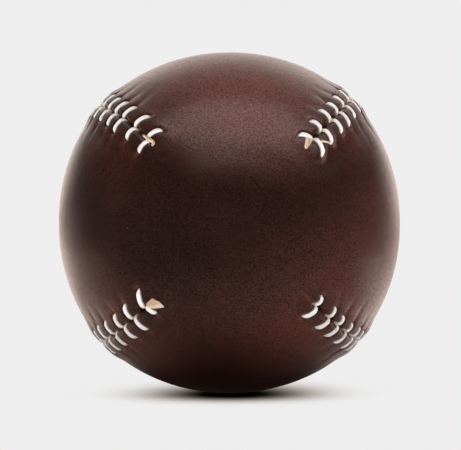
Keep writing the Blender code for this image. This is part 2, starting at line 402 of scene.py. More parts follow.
# The leather cover: one piece of thick waxed hide, slit along four meridians into petals
# that meet at the back pole. It stretches over the windings, rises along the seams and is
# pressed in by the thread that laces it.

PANEL_RADIUS = 36.3 * MM
LEATHER_THICKNESS = 2.0 * MM
FACE_TILT = math.radians(4.5)
RESTING_FLAT = -35.8 * MM
RIDGE_HEIGHT = 0.8 * MM
RIDGE_HALF_WIDTH = 17.0 * MM
RIDGE_FULL = math.radians(39.6)
RIDGE_RISE = math.radians(18)
SWING_FROM = math.radians(38)
SWING_TO = math.radians(84)
LAST_ROW = 170.0

# Each seam's azimuth at the face and on the sides, the polar angles of the uneven rows of
# stitches nearest the face, measured in the photograph, all in degrees, and the number of rows
SEAMS = {
    "upper_right": (45.1, 45.8, (40.5, 46.2, 53.4, 60.0, 67.3, 76.0, 83.0), 20),
    "upper_left": (134.2, 137.6, (39.4, 47.8, 55.8, 61.8, 68.7, 76.2), 20),
    "lower_left": (225.2, 223.4, (41.0, 48.1, 55.4, 63.2, 70.8, 78.6), 19),
    "lower_right": (316.1, 317.5, (41.0, 49.3, 55.8, 63.2, 71.0), 20),
}

# One arm of a stitch, from its hole to the slit: sideways, and back along the seam, in
# millimetres. Some arms at the face were drawn another way, for the plus or minus side of a
# seam, and on some sides all arms are shorter.
ARM = ((3.4, -0.6), (2.5, 0.5), (1.0, 0.75), (0.0, 0.0))
FIRST_ARMS = {
    ("lower_left", 1): ((2.3, -1.1), (1.6, -0.3), (0.8, 0.1), (0.0, 0.0)),
    ("lower_left", -1): ((3.5, -1.9), (2.5, -0.7), (1.0, 0.1), (0.0, 0.0)),
    ("upper_right", 1): ((2.9, -1.9), (2.5, -0.6), (1.1, 0.2), (0.0, 0.0)),
    ("upper_right", -1): ((4.0, -1.3), (2.9, 0.2), (1.0, 0.6), (0.0, 0.0)),
}
ARM_REACH = {("lower_right", 1): 0.66, ("upper_left", 1): 0.92, ("upper_right", 1): 0.92}
ARM_POINTS = 15
SEWN_UNEVENLY = 0.22
HOLE_OFFSET = 3.4 * MM
DIVE_SPLIT = 0.7 * MM


def smooth_step(value, low, high):
    share = min(max((value - low) / (high - low), 0.0), 1.0)
    return share * share * (3 - 2 * share)


def seam_angles(seam):
    """A seam's azimuths at the face and on the sides."""
    return [math.radians(angle) for angle in SEAMS[seam][:2]]


def seam_rows(seam):
    """Polar angles of a seam's rows: the first as sewn, the others evenly on to the back."""
    sewn, count = SEAMS[seam][2:]
    left = count - len(sewn)
    step = (LAST_ROW - sewn[-1]) / left
    rows = [*sewn, *(sewn[-1] + step * (i + 1) for i in range(left))]
    return [math.radians(row) for row in rows]


def seam_direction(seam, polar):
    at_face, on_sides = seam_angles(seam)
    azimuth = at_face + (on_sides - at_face) * smooth_step(polar, SWING_FROM, SWING_TO)
    ring = math.sin(polar)
    return Vector((ring * math.cos(azimuth), -math.cos(polar), ring * math.sin(azimuth)))


def seam_frame(seam, polar):
    """Unit vectors outward, back along the seam, and across it."""
    step = 1e-4
    outward = seam_direction(seam, polar)
    along = seam_direction(seam, polar + step) - seam_direction(seam, polar - step)
    along.normalize()
    return outward, along, outward.cross(along)


def on_cover(seam, row, sideways, back, height=0.0):
    """The place beside a row of stitches, at a height over the even leather."""
    polar = row + back / PANEL_RADIUS
    outward, _, across = seam_frame(seam, polar)
    angle = sideways / PANEL_RADIUS
    unit = outward * math.cos(angle) + across * math.sin(angle)
    ridge = RIDGE_HEIGHT * math.exp(-((sideways / RIDGE_HALF_WIDTH) ** 2))
    ridge *= smooth_step(polar, RIDGE_FULL - RIDGE_RISE, RIDGE_FULL)
    return unit * (PANEL_RADIUS + ridge + height)


def arm_line(seam, number, side):
    """Sideways and back along one arm. The two arms of a row go down the slit apart."""
    hand = random.Random(f"{seam} {number} {side}")
    drawn = FIRST_ARMS.get((seam, side), ARM) if number == 0 else ARM
    reach = ARM_REACH.get((seam, side), 1.0)
    knots = []
    for sideways, back in drawn:
        sideways *= reach
        sway = SEWN_UNEVENLY * min(sideways, 1.0)
        knot = (sideways + hand.uniform(-sway, sway), back + hand.uniform(-sway, sway), 0.0)
        knots.append(Vector(knot) * MM)
    split = side * DIVE_SPLIT / 2
    points = interpolate_bezier(*knots, ARM_POINTS)
    return [(side * p.x, p.y - split * (1 - p.x / HOLE_OFFSET)) for p in points]


# Where the leather is pressed in: under the arms, at the holes and along creases that run
# on from them, where it is also stretched. The slit gapes behind each row.
PRESS_DEPTH = 0.56 * MM
PRESS_WIDTH = 0.62 * MM
HOLE_DEPTH = 0.75 * MM
HOLE_WIDTH = 0.50 * MM
HOLE_STRETCH = 0.6
CREASE_DEPTH = 0.30 * MM
CREASE_WIDTH = 0.75 * MM
CREASE_STEP = 0.4 * MM
CREASE_LENGTHS = (3.0, 7.0)
CREASE_LEAN = 0.25
WORN_LENGTH = 1.8 * MM
GAPE_BEHIND = 1.25 * MM

chance = random.Random(5)
marks = []
for seam in SEAMS:
    for number, row in enumerate(seam_rows(seam)):
        marks.append((on_cover(seam, row, 0.0, GAPE_BEHIND), 0.0, PRESS_WIDTH, 1.0, 0.0))
        for side in (1, -1):
            arm = arm_line(seam, number, side)
            for sideways, back in arm:
                place = on_cover(seam, row, sideways, back)
                marks.append((place, PRESS_DEPTH, PRESS_WIDTH, 0.0, 0.0))
            hole_sideways, hole_back = arm[0]
            hole = on_cover(seam, row, hole_sideways, hole_back)
            marks.append((hole, HOLE_DEPTH, HOLE_WIDTH, 0.0, HOLE_STRETCH))
            length = chance.uniform(*CREASE_LENGTHS) * MM
            lean = chance.uniform(-CREASE_LEAN, CREASE_LEAN)
            strength = chance.uniform(0.6, 1.2) * min(0.3 + 0.2 * number, 1.0)
            for i in range(1, int(length / CREASE_STEP)):
                run = i * CREASE_STEP
                fade = 1 - run / length
                place = on_cover(seam, row, hole_sideways + side * run, hole_back + lean * run)
                width = CREASE_WIDTH * (1.4 - 0.6 * fade)
                worn = max(1 - run / WORN_LENGTH, 0.0)
                marks.append((place, CREASE_DEPTH * strength * fade, width, 0.0, worn))

# A scratch in line with one slit, through points before its first row, in millimetres
SCRATCH_POINTS = [-2.8 - 0.25 * i for i in range(7)]
SCRATCH_DEPTH = 0.08 * MM
SCRATCH_WIDTH = 0.22 * MM
first_row = seam_rows("lower_right")[0]
for back in SCRATCH_POINTS:
    place = on_cover("lower_right", first_row, 0.1 * MM, back * MM)
    marks.append((place, SCRATCH_DEPTH, SCRATCH_WIDTH, 0.0, 1.0))

marks_mesh = bpy.data.meshes.new("lacing marks")
marks_mesh.from_pydata([mark[0] for mark in marks], [], [])
for column, name in enumerate(("depth", "width", "gape", "stretch"), start=1):
    layer = marks_mesh.attributes.new(name, "FLOAT", "POINT")
    layer.data.foreach_set("value", [mark[column] for mark in marks])


def named(plan, name, kind="FLOAT"):
    """A named attribute of the points, or their position."""
    if name == "position":
        return plan.node("GeometryNodeInputPosition")
    return plan.node("GeometryNodeInputNamedAttribute", {"Name": name}, data_type=kind)


def sampled(plan, geometry, index, name, kind="FLOAT"):
    """The same, at an index of a geometry."""
    sockets = {"Geometry": geometry, "Value": named(plan, name, kind), "Index": index}
    return plan.node("GeometryNodeSampleIndex", sockets, data_type=kind, domain="POINT")


MERGE_DISTANCE = 2e-6


def merged(plan, geometry):
    sockets = {"Geometry": geometry, "Distance": MERGE_DISTANCE}
    return plan.node("GeometryNodeMergeByDistance", sockets)


# The columns and rows of the sheet that a petal is folded from
OUTER_COLUMNS = 66
WALL_COLUMNS = 3
INNER_COLUMNS = 6
COLUMNS = OUTER_COLUMNS + INNER_COLUMNS + 2 * WALL_COLUMNS
FACE_ROWS = 24
SEAM_ROWS = 256
OPENING_ROWS = 5
TIP_ROWS = 4
GRADING = 0.9

# How far a slit starts before its first row, and where the band beside it rises, in radians
SLIT_LEAD = math.radians(2.6)
STITCHED_FROM = -0.10
STITCHED_FULL = 0.04
LEAST_RING = 0.02


def petal_tree():
    """One petal from seam to seam: a sheet folded round to an outside, an inside and a wall at
    each slit, with its columns set closer towards the slits."""
    inputs = {
        "Marks": "Geometry",
        "First at face": 0.0,
        "First on sides": 0.0,
        "First slit start": 0.0,
        "Second at face": 0.0,
        "Second on sides": 0.0,
        "Second slit start": 0.0,
        "Panel radius": PANEL_RADIUS,
        "Thickness": LEATHER_THICKNESS,
        "Ridge height": RIDGE_HEIGHT,
        "Ridge half width": RIDGE_HALF_WIDTH,
        "Band height": 0.46 * MM,
        "Band top": 2.6 * MM,
        "Band foot": 6.5 * MM,
        "Lip drop": 0.75 * MM,
        "Lip width": 0.60 * MM,
        "Slit half width": 0.10 * MM,
        "Gape half width": 0.42 * MM,
        "Gape length": 0.60 * MM,
        "Tip opening": 0.3 * MM,
        "Unevenness": 0.16 * MM,
    }
    plan, given = start_tree("leather petal", inputs)
    radius = given["Panel radius"]
    sheet_size = {"Vertices X": COLUMNS + 1, "Vertices Y": SEAM_ROWS + FACE_ROWS + 1}
    sheet = plan.node("GeometryNodeMeshGrid", {"Size X": 1.0, "Size Y": 1.0, **sheet_size})
    right, up, _ = plan.split(named(plan, "position"))
    column = (right + 0.5) * COLUMNS
    row = (up + 0.5) * (SEAM_ROWS + FACE_ROWS)

    def share(value, start, count):
        return plan.maths("DIVIDE", value - start, count, clamp=True)

    inside_from = OUTER_COLUMNS + WALL_COLUMNS
    outside = share(column, 0, OUTER_COLUMNS)
    second_wall = share(column, OUTER_COLUMNS, WALL_COLUMNS)
    inside = share(column, inside_from, INNER_COLUMNS)
    first_wall = share(column, inside_from + INNER_COLUMNS, WALL_COLUMNS)
    face = share(row, 0, FACE_ROWS)
    beyond = share(row, FACE_ROWS, SEAM_ROWS)

    # The petal ends in a rounded tip, where its faces meet
    tip = plan.maths("MULTIPLY", 1 - beyond, SEAM_ROWS / TIP_ROWS, clamp=True)
    tip = plan.maths("SQRT", tip * (2 - tip))
    graded = outside - plan.maths("SINE", outside * TURN) * (GRADING / TURN)
    across = 0.5 + (graded - inside - 0.5) * tip
    depth = second_wall - first_wall

    first_start, second_start = given["First slit start"], given["Second slit start"]
    slit_start = first_start + (second_start - first_start) * across
    polar = slit_start * face + (math.pi - given["Tip opening"] / radius - slit_start) * beyond
    ring = plan.maths("SINE", polar)
    forward = 0 - plan.maths("COSINE", polar)
    swing = plan.ramp(polar, SWING_FROM, SWING_TO)

    def unit(azimuth):
        right = plan.maths("COSINE", azimuth) * ring
        return plan.point(right, forward, plan.maths("SINE", azimuth) * ring)

    ridge_rise = plan.ramp(polar, RIDGE_FULL - RIDGE_RISE, RIDGE_FULL)
    ridge_top = radius + given["Ridge height"] * ridge_rise
    sockets = {"Geometry": given["Marks"], "Selection": named(plan, "gape")}
    gaping = plan.node("GeometryNodeSeparateGeometry", sockets)
    pressing = gaping.other("Inverted")
    opened = plan.maths("MULTIPLY", beyond, SEAM_ROWS / OPENING_ROWS, clamp=True) * tip

    def half_gap(azimuth):
        """Half the slit's width at a seam, as an angle round the ball."""
        sockets = {"Geometry": gaping, "Sample Position": plan.scaled(unit(azimuth), ridge_top)}
        nearest = plan.node("GeometryNodeProximity", sockets, "Distance", target_element="POINTS")
        gape = given["Gape half width"] * plan.bell(nearest, given["Gape length"])
        width = (given["Slit half width"] + gape) * opened * (1 - depth * 0.5)
        return width / (radius * plan.maths("MAXIMUM", ring, LEAST_RING))

    first, second = given["First at face"], given["Second at face"]
    first = first + (given["First on sides"] - first) * swing
    second = second + (given["Second on sides"] - second) * swing
    first_edge = first + half_gap(first)
    second_edge = second - half_gap(second)
    azimuth = first_edge + (second_edge - first_edge) * across
    nearer = plan.maths("MINIMUM", azimuth - first, second - azimuth)
    sideways = nearer * radius * ring

    ridge = given["Ridge height"] * ridge_rise * plan.bell(sideways, given["Ridge half width"])
    even = radius + ridge
    direction = unit(azimuth)
    even_place = plan.scaled(direction, even)
    sockets = {"Geometry": pressing, "Sample Position": even_place}
    index = plan.node("GeometryNodeSampleNearest", sockets, domain="POINT")
    mark = sampled(plan, pressing, index, "position", "FLOAT_VECTOR")
    reach = plan.vector("DISTANCE", mark, even_place, output="Value")
    under = plan.bell(reach, sampled(plan, pressing, index, "width"))
    pressed = under * sampled(plan, pressing, index, "depth")
    stretched = under * sampled(plan, pressing, index, "stretch")

    stitched = plan.ramp(polar - slit_start, STITCHED_FROM, STITCHED_FULL)
    band = (1 - plan.ramp(sideways, given["Band top"], given["Band foot"])) * stitched
    lip = plan.bell(sideways, given["Lip width"]) * opened
    uneven = plan.noise(even_place, size=16.0 * MM, detail=2.0) - 0.5
    outer = even + given["Band height"] * band + given["Unevenness"] * uneven
    outer = outer - pressed - given["Lip drop"] * lip
    inner = even - given["Thickness"]
    height = outer + (inner - outer) * depth * tip

    # There are no walls before the slits start
    before_slit = plan.maths("LESS_THAN", row, FACE_ROWS)
    on_second = plan.maths("COMPARE", column, OUTER_COLUMNS + WALL_COLUMNS / 2, WALL_COLUMNS / 2)
    on_first = plan.maths("GREATER_THAN", column, COLUMNS - WALL_COLUMNS)
    no_wall = before_slit * plan.maths("MAXIMUM", on_first, on_second)
    sockets = {"Geometry": sheet, "Selection": no_wall}
    made = plan.node("GeometryNodeDeleteGeometry", sockets, domain="FACE")
    wear = {"pressed": pressed / PRESS_DEPTH, "stretched": stretched}
    made = stored(plan, made, seam_distance=sideways, stitched=stitched, **wear)
    made = moved(plan, made, plan.scaled(direction, height))
    plan.node("NodeGroupOutput", {"Geometry": made})
    return plan.tree


def cover_tree():
    """Four petals joined at the face, with the ball's tilt and the flat it rests on."""
    inputs = {
        "Marks": "Geometry",
        "Face tilt": FACE_TILT,
        "Resting flat": RESTING_FLAT,
        "Leather": "Material",
    }
    plan, given = start_tree("leather cover", inputs)
    petal = petal_tree()
    petals = []
    names = list(SEAMS)
    for i, name in enumerate(names):
        sockets = {"Marks": given["Marks"]}
        following = names[(i + 1) % len(names)]
        for title, seam, turn in (("First", name, 0.0), ("Second", following, TURN)):
            at_face, on_sides = seam_angles(seam)
            wrap = turn if i + 1 == len(names) else 0.0
            sockets[title + " at face"] = at_face + wrap
            sockets[title + " on sides"] = on_sides + wrap
            sockets[title + " slit start"] = seam_rows(seam)[0] - SLIT_LEAD
        petals.append(plan.node("GeometryNodeGroup", sockets, node_tree=petal))
    made = merged(plan, plan.node("GeometryNodeJoinGeometry", {"Geometry": petals}))
    tilted = turned(plan, named(plan, "position"), 0 - given["Face tilt"], "X_AXIS")
    right, deep, up = plan.split(tilted)
    rested = plan.point(right, deep, plan.maths("MAXIMUM", up, given["Resting flat"]))
    return end_tree(plan, moved(plan, made, rested), given["Leather"])


DEEP_BROWN = (0.0150, 0.0050, 0.0038)
WARM_BROWN = (0.0270, 0.0080, 0.0058)
CLOUD_BROWN = (0.0370, 0.0100, 0.0070)
WAX_AND_SHADE_DARK = (0.0060, 0.0028, 0.0024)
WEAR_AND_LIGHT_RED = (0.1100, 0.0290, 0.0200)
SPECKLE = (0.0074, 0.0028, 0.0022)
LACED_DARK = (0.0085, 0.0037, 0.0031)
STRETCHED_TAN = (0.1500, 0.0460, 0.0270)
PRESSED_DARK = (0.0095, 0.0036, 0.0030)
RUBBED_LIP = (0.0700, 0.0260, 0.0170)

# Patches on the face. The dark ones are partly wax that lies thick and dark and partly painted
# shade: under the ball, on the left side and in a band below the highlight. The red ones are
# partly leather made redder where handling has drawn the wax off and partly painted light: on
# the right and the lower sides, and a painted reddish sheen at the top. Headings right of the
# middle and elevations in degrees, radii in millimetres and strengths
WAX_AND_SHADE_PATCHES = [
    (-28, -11, 12, 0.70),
    (-56, 6, 11, 0.50),
    (0, -68, 10, 0.70),
    (-27, 26, 6, 0.60),
    (-16, 21, 7, 0.80),
    (4, 18, 9, 0.80),
    (18, 12, 9, 0.75),
    (23, 18, 9, 0.95),
    (33, 21, 9, 0.95),
]
WEAR_AND_LIGHT_PATCHES = [
    (16, -16, 12, 0.08),
    (48, -8, 15, 0.22),
    (40, -36, 14, 0.54),
    (34, -48, 10, 0.20),
    (-46, -28, 9, 0.20),
    (-42, -40, 11, 0.28),
    (-50, -48, 8, 0.28),
    (22, 30, 7, 0.22),
    (8, 62, 17, 0.95),
    (33, 54, 10, 0.40),
    (-30, 58, 11, 0.25),
]


def facing_point(heading, elevation):
    heading, elevation = math.radians(heading), math.radians(elevation)
    level = math.cos(elevation)
    unit = Vector((level * math.sin(heading), -level * math.cos(heading), math.sin(elevation)))
    return unit * PANEL_RADIUS


def leather_finish():
    """Waxed brown hide: fine pores that break the wax film, soft mottling, patches of thick wax and
    of handling mixed with painted shade and painted light, dark in the folds and worn paler at the
    holes and on the lips of the slits."""
    made, plan, shader, place = start_finish("waxed leather")
    beside = plan.attribute("seam_distance")
    stitched = plan.attribute("stitched")
    lip = plan.bell(beside, 0.30 * MM) * stitched
    laced = (1 - plan.ramp(beside, 1.8 * MM, 4.2 * MM)) * stitched
    mottle = plan.noise(place, size=14.0 * MM, detail=4.0, roughness=0.6)
    cloud = plan.noise(place, size=30.0 * MM, detail=2.0)
    pores = plan.noise(place, size=0.29 * MM, detail=2.0, roughness=0.7)
    speckle = plan.noise(place, size=1.6 * MM, detail=2.0)
    grain = plan.cells(place, size=0.9 * MM, feature="DISTANCE_TO_EDGE")
    tone = plan.blend(plan.ramp(mottle, 0.3, 0.7), DEEP_BROWN, WARM_BROWN)
    tone = plan.blend(plan.ramp(cloud, 0.45, 0.75) * 0.6, tone, CLOUD_BROWN)
    # The dark patches blend in thick wax and painted shade, the red ones handled leather and
    # painted light
    for patches, shade in ((WAX_AND_SHADE_PATCHES, WAX_AND_SHADE_DARK), (WEAR_AND_LIGHT_PATCHES, WEAR_AND_LIGHT_RED)):
        for heading, elevation, radius, strength in patches:
            middle = facing_point(heading, elevation)
            away = plan.vector("DISTANCE", place, middle, output="Value")
            tone = plan.blend(plan.bell(away, radius * MM) * strength, tone, shade)
    wax = plan.ramp(pores, 0.32, 0.68)
    tone = plan.scaled(tone, 0.5 + wax * 1.2)
    tone = plan.blend(plan.ramp(speckle, 0.5, 0.3) * 0.2, tone, SPECKLE)
    tone = plan.blend(laced * 0.4, tone, LACED_DARK)
    tone = plan.blend(plan.attribute("stretched") * 0.7, tone, STRETCHED_TAN)
    tone = plan.blend(plan.attribute("pressed") * 0.5, tone, PRESSED_DARK)
    tone = plan.blend(lip * 0.3, tone, RUBBED_LIP)
    relief = plan.ramp(grain, 0.0, 0.25) * 0.10 + pores * 0.90
    looks = {
        "Base Color": tone,
        "Roughness": 0.14 + mottle * 0.06 + laced * 0.22,
        "Specular IOR Level": 0.45,
        "Specular Tint": (1.0, 0.52, 0.44),
        "Coat Weight": wax,
        "Coat Roughness": 0.27,
        "Sheen Weight": 0.02,
        "Sheen Roughness": 0.4,
        "Sheen Tint": (1.0, 0.34, 0.22),
        "Normal": plan.bump(relief, 0.38, 0.18 * MM),
    }
    plan.feed(shader, looks)
    return made


leather = grown("leather", marks_mesh, cover_tree(), {"Leather": leather_finish()})
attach(leather, "root")
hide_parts("leather_cover")


# The lacing: one flat waxed thread for each seam, drawn up through a hole, over the lip of
# the leather and down the slit, then under the other side to its hole. It narrows where it
# passes through, and its loose ends are left at the face. It carries painted shade in tan where
# it goes into the holes and the slit, towards the ends of its arms and on its loose ends.

THREAD_WIDTH = 1.10 * MM
NECK_WIDTH = 0.50 * MM
HOLE_END_WIDTH = 0.34 * MM
CLOSING_WIDTH = 0.3 * MM
THREAD_THICKNESS = 0.60 * MM
TOP_HEIGHT = 0.16 * MM
END_HEIGHT = -0.50 * MM
MID_HEIGHT = -1.2 * MM
UNDER_HEIGHT = -2.8 * MM
TAIL_LENGTH = 2.0 * MM
PROFILE_POINTS = 12
END_POINTS = 12
# How much painted shade, in tan, the loose ends carry
END_SHADE = 0.9

# How late along an arm the thread dips, narrows and turns tan with painted shade towards the
# hole; the narrowing's power also sets how it turns tan with painted shade towards the slit
DIP_POWER = 6
NARROWING_POWER = 3.5
HOLE_SHADE_POWER = 8


def lacing_line(seam):
    """Places, directions back along the seam, widths and shade of the thread's middle."""
    line = []

    def add(row, sideways, back, height, width, shade):
        along = seam_frame(seam, row + back / PANEL_RADIUS)[1]
        line.append((on_cover(seam, row, sideways, back, height), along, width, shade))

    rows = seam_rows(seam)
    add(rows[0], HOLE_OFFSET + TAIL_LENGTH, 0.0, UNDER_HEIGHT, 0.0, 1.0)
    for number, row in enumerate(rows):
        for side in (1, -1):
            points = arm_line(seam, number, side)
            hole, dive = points[0], points[-1]
            widest = THREAD_WIDTH * (0.25 + 0.75 * ARM_REACH.get((seam, side), 1.0))
            # Down through the hole and the slit the thread is painted fully tan as shade, and along
            # each arm this painted shade deepens towards both ends
            for height in (UNDER_HEIGHT, MID_HEIGHT):
                add(row, *hole, height, HOLE_END_WIDTH, 1.0)
            for i, (sideways, back) in enumerate(points):
                share = 2 * i / (len(points) - 1) - 1
                bend = abs(share)
                narrow, power = NECK_WIDTH, NARROWING_POWER
                if share < 0:
                    narrow, power = HOLE_END_WIDTH, HOLE_SHADE_POWER
                height = TOP_HEIGHT + (END_HEIGHT - TOP_HEIGHT) * bend**DIP_POWER
                width = widest + (narrow - widest) * bend**NARROWING_POWER
                add(row, sideways, back, height, width, bend**power)
            for height in (MID_HEIGHT, UNDER_HEIGHT):
                add(row, *dive, height, NECK_WIDTH, 1.0)
    add(rows[-1], TAIL_LENGTH, dive[1], UNDER_HEIGHT, 0.0, 1.0)
    return line


def run_at(places, i):
    """From the place before one to the place after it."""
    return places[min(i + 1, len(places) - 1)] - places[max(i - 1, 0)]


def loose_end(seam, knots, start_width, end_width, slant):
    """A loose end of thread that lies on the leather at the face, from its four knots, painted tan
    as shade. It is cut off at a slant."""
    row = seam_rows(seam)[0]
    knots = [Vector(knot) * MM for knot in knots]
    places = [on_cover(seam, row, *point) for point in interpolate_bezier(*knots, END_POINTS)]
    line = []
    for i, place in enumerate(places):
        share = i / (END_POINTS - 1)
        width = start_width + (end_width - start_width) * share
        closed = i in (0, END_POINTS - 1)
        across = place.cross(run_at(places, i)).normalized()
        across.rotate(Quaternion(place, slant * share))
        line.append((place, across, 0.0 if closed else width, END_SHADE))
    return line


# The loose ends of each seam: four knots of sideways, back and height in millimetres, the
# widths at both ends and the slant of the cut
LOOSE_ENDS = {
    "upper_right": [
        (((0.9, -0.3, -0.3), (0.6, -0.9, 0.3), (0.1, -2.0, 0.4), (-0.3, -3.2, 0.1)), 2.1, 0.6, 0.0),
        (((-1.2, 0.7, 0.1), (-1.8, 1.5, 0.4), (-2.6, 2.0, 0.5), (-3.3, 2.9, -0.2)), 0.5, 0.55, 0.0),
    ],
    "upper_left": [
        (((0.1, 2.6, -0.5), (0.1, 1.6, 0.0), (-0.1, 0.8, 0.3), (0.0, -0.2, 0.3)), 0.45, 0.8, 0.0),
        (((0.0, 0.1, 0.2), (-0.5, -0.9, 0.5), (-0.6, -2.1, 0.5), (0.5, -1.6, 0.1)), 0.75, 0.5, 0.0),
    ],
    "lower_left": [
        (((-0.1, -0.6, -0.2), (0.3, -1.5, 0.5), (0.8, -2.6, 0.7), (1.3, -3.8, 0.4)), 0.7, 3.3, 0.6),
    ],
    "lower_right": [],
}


def line_mesh(name, line, slanted):
    """A line of points, each with the thread's width, shade and the directions of its flat,
    which lies square to the line unless it is slanted."""
    mesh = bpy.data.meshes.new(name)
    places, _, widths, shades = zip(*line)
    mesh.from_pydata(places, [], [])
    across, facing = [], []
    for i, (_, along, _, _) in enumerate(line):
        run = run_at(places, i).normalized()
        flat = along if slanted else (along - run * along.dot(run)).normalized()
        across.extend(flat)
        facing.extend(run.cross(flat).normalized())
    for title, values in (("across", across), ("facing", facing)):
        mesh.attributes.new(title, "FLOAT_VECTOR", "POINT").data.foreach_set("vector", values)
    for title, values in (("width", widths), ("shade", shades)):
        mesh.attributes.new(title, "FLOAT", "POINT").data.foreach_set("value", values)
    return mesh


def thread_tree():
    """A flat thread along a line of points, rounded at its edges and a little uneven."""
    inputs = {
        "Line": "Geometry",
        "Thickness": THREAD_THICKNESS,
        "Edge rounding": 0.4,
        "Unevenness": 0.20 * MM,
        "Face tilt": FACE_TILT,
        "Thread": "Material",
    }
    plan, given = start_tree("flat thread", inputs)
    line = given["Line"]
    count = plan.node("GeometryNodeAttributeDomainSize", {"Geometry": line})
    sizes = {"Size X": 1.0, "Size Y": 1.0, "Vertices X": count, "Vertices Y": PROFILE_POINTS + 1}
    sheet = plan.node("GeometryNodeMeshGrid", sizes)
    right, up, _ = plan.split(named(plan, "position"))
    index = plan.maths("ROUND", (right + 0.5) * (count - 1))
    around = up + 0.5
    middle = sampled(plan, line, index, "position", "FLOAT_VECTOR")
    width = sampled(plan, line, index, "width")
    closing = plan.maths("MULTIPLY", width, 1 / CLOSING_WIDTH, clamp=True)
    sine = plan.maths("SINE", around * TURN)
    rounded = plan.maths("ABSOLUTE", sine) ** given["Edge rounding"]
    rise = plan.maths("SIGN", sine) * rounded * given["Thickness"] * 0.5 * closing
    wobble = plan.noise(middle, size=1.1 * MM, detail=1.0) - 0.5
    reach = plan.maths("COSINE", around * TURN) * 0.5 * width
    reach = reach + wobble * given["Unevenness"] * closing
    place = middle
    for name, length in (("across", reach), ("facing", rise)):
        direction = sampled(plan, line, index, name, "FLOAT_VECTOR")
        place = plan.vector("ADD", place, plan.scaled(direction, length))
    tilted = turned(plan, place, 0 - given["Face tilt"], "X_AXIS")
    shade = sampled(plan, line, index, "shade")
    made = stored(plan, sheet, around=around, shade=shade)
    made = merged(plan, moved(plan, made, tilted))
    return end_tree(plan, made, given["Thread"])


THREAD_WHITE = (0.885, 0.843, 0.81)
STAINED_CREAM = (0.84, 0.78, 0.68)
SHADED_TAN = (0.50, 0.265, 0.085)


def thread_finish():
    """Waxed linen thread: pale, with fibres along it and light that spreads in it, and painted
    shade in tan where it goes into the holes and the slit, at the ends of its arms and on its loose
    ends, more so along one edge."""
    made, plan, shader, place = start_finish("waxed thread")
    fibres_around = 9
    around = plan.attribute("around")
    fuzz = plan.noise(place, size=0.7 * MM, detail=3.0)
    fibres = plan.maths("SINE", (around * fibres_around + fuzz * 0.8) * TURN)
    stain = plan.ramp(plan.noise(place, size=1.6 * MM), 0.5, 0.8)
    tone = plan.blend(stain * 0.25, THREAD_WHITE, STAINED_CREAM)
    # Painted shade: tan as the shade attribute gives it, deeper along one edge of the thread
    edge = plan.maths("COSINE", around * TURN)
    painted_shade = plan.attribute("shade") * (0.45 + 0.5 * plan.ramp(edge, -1.0, 0.3))
    looks = {
        "Base Color": plan.blend(painted_shade, tone, SHADED_TAN),
        "Roughness": 0.45 + fuzz * 0.2,
        "Subsurface Weight": 0.6,
        "Subsurface Radius": (1.0, 1.0, 1.0),
        "Subsurface Scale": 0.5 * MM,
        "Normal": plan.bump(fibres, 0.25, 0.06 * MM),
    }
    plan.feed(shader, looks)
    return made


def joined(name, pieces):
    """One piece from several, which are removed."""
    form = bmesh.new()
    for piece in pieces:
        form.from_mesh(piece.data)
    mesh = bpy.data.meshes.new(name)
    form.to_mesh(mesh)
    form.free()
    for finish in pieces[0].data.materials:
        mesh.materials.append(finish)
    for piece in pieces:
        bpy.data.objects.remove(piece)
    return linked(name, mesh)


flat_thread = thread_tree()
waxed_thread = thread_finish()
for seam in SEAMS:
    lines = [line_mesh("lacing line", lacing_line(seam), slanted=False)]
    for knots, start_width, end_width, slant in LOOSE_ENDS[seam]:
        line = loose_end(seam, knots, start_width * MM, end_width * MM, slant)
        lines.append(line_mesh("loose end", line, slanted=True))
    strands = [grown("strand", line, flat_thread, {"Thread": waxed_thread}) for line in lines]
    thread = joined("lacing_" + seam, strands)
    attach(thread, "root")
    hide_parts("seam_thread_" + seam)


# The stage: a white floor and backdrop, each with a brightness of its own for the camera, for
# what the leather mirrors and for the light on the ball. A softbox in two strips hangs over
# it, a weak lamp stands at each side, and the camera has the photograph's angle.

WHITE_LEVEL = 0.855
FLOOR_SIZE = 6.0
FLOOR_LIGHT = 2.2

# The shadow's middle from the ball's, its slant and reach, its even core and its fall
SHADOW_BEFORE = 8.2 * MM
SHADOW_BESIDE = 0.5 * MM
SHADOW_SLANT = 0.065
SHADOW_HALF_WIDTH = 14.2 * MM
SHADOW_TO_FRONT = 8.6 * MM
SHADOW_TO_BACK = 13.4 * MM
SHADOW_CORE = 0.37
SHADOW_POWER = 2.4
SHADOW_TINT = (1.17, 1.0, 0.88)

# What the leather mirrors: the horizon behind the ball, brighter on the right, and the floor
LEFT_TO_RIGHT = (-0.1, 0.1)
HORIZON_POWER = 9
HORIZON_LEFT = 2.6
HORIZON_MORE_RIGHT = 1.8
HORIZON_MOST = 1.15
FLOOR_UNDER = 0.01
FLOOR_FAR_LEAST = 0.25
FLOOR_HALFWAY = 0.7
MIRRORED_TINT = (1.0, 0.81, 0.72)


def horizon_glow(plan, behind, right):
    """The horizon's brightness, by how straight behind the ball and how far right it is."""
    glow = behind**HORIZON_POWER * (HORIZON_LEFT + HORIZON_MORE_RIGHT * right)
    return plan.maths("MINIMUM", glow, HORIZON_MOST)


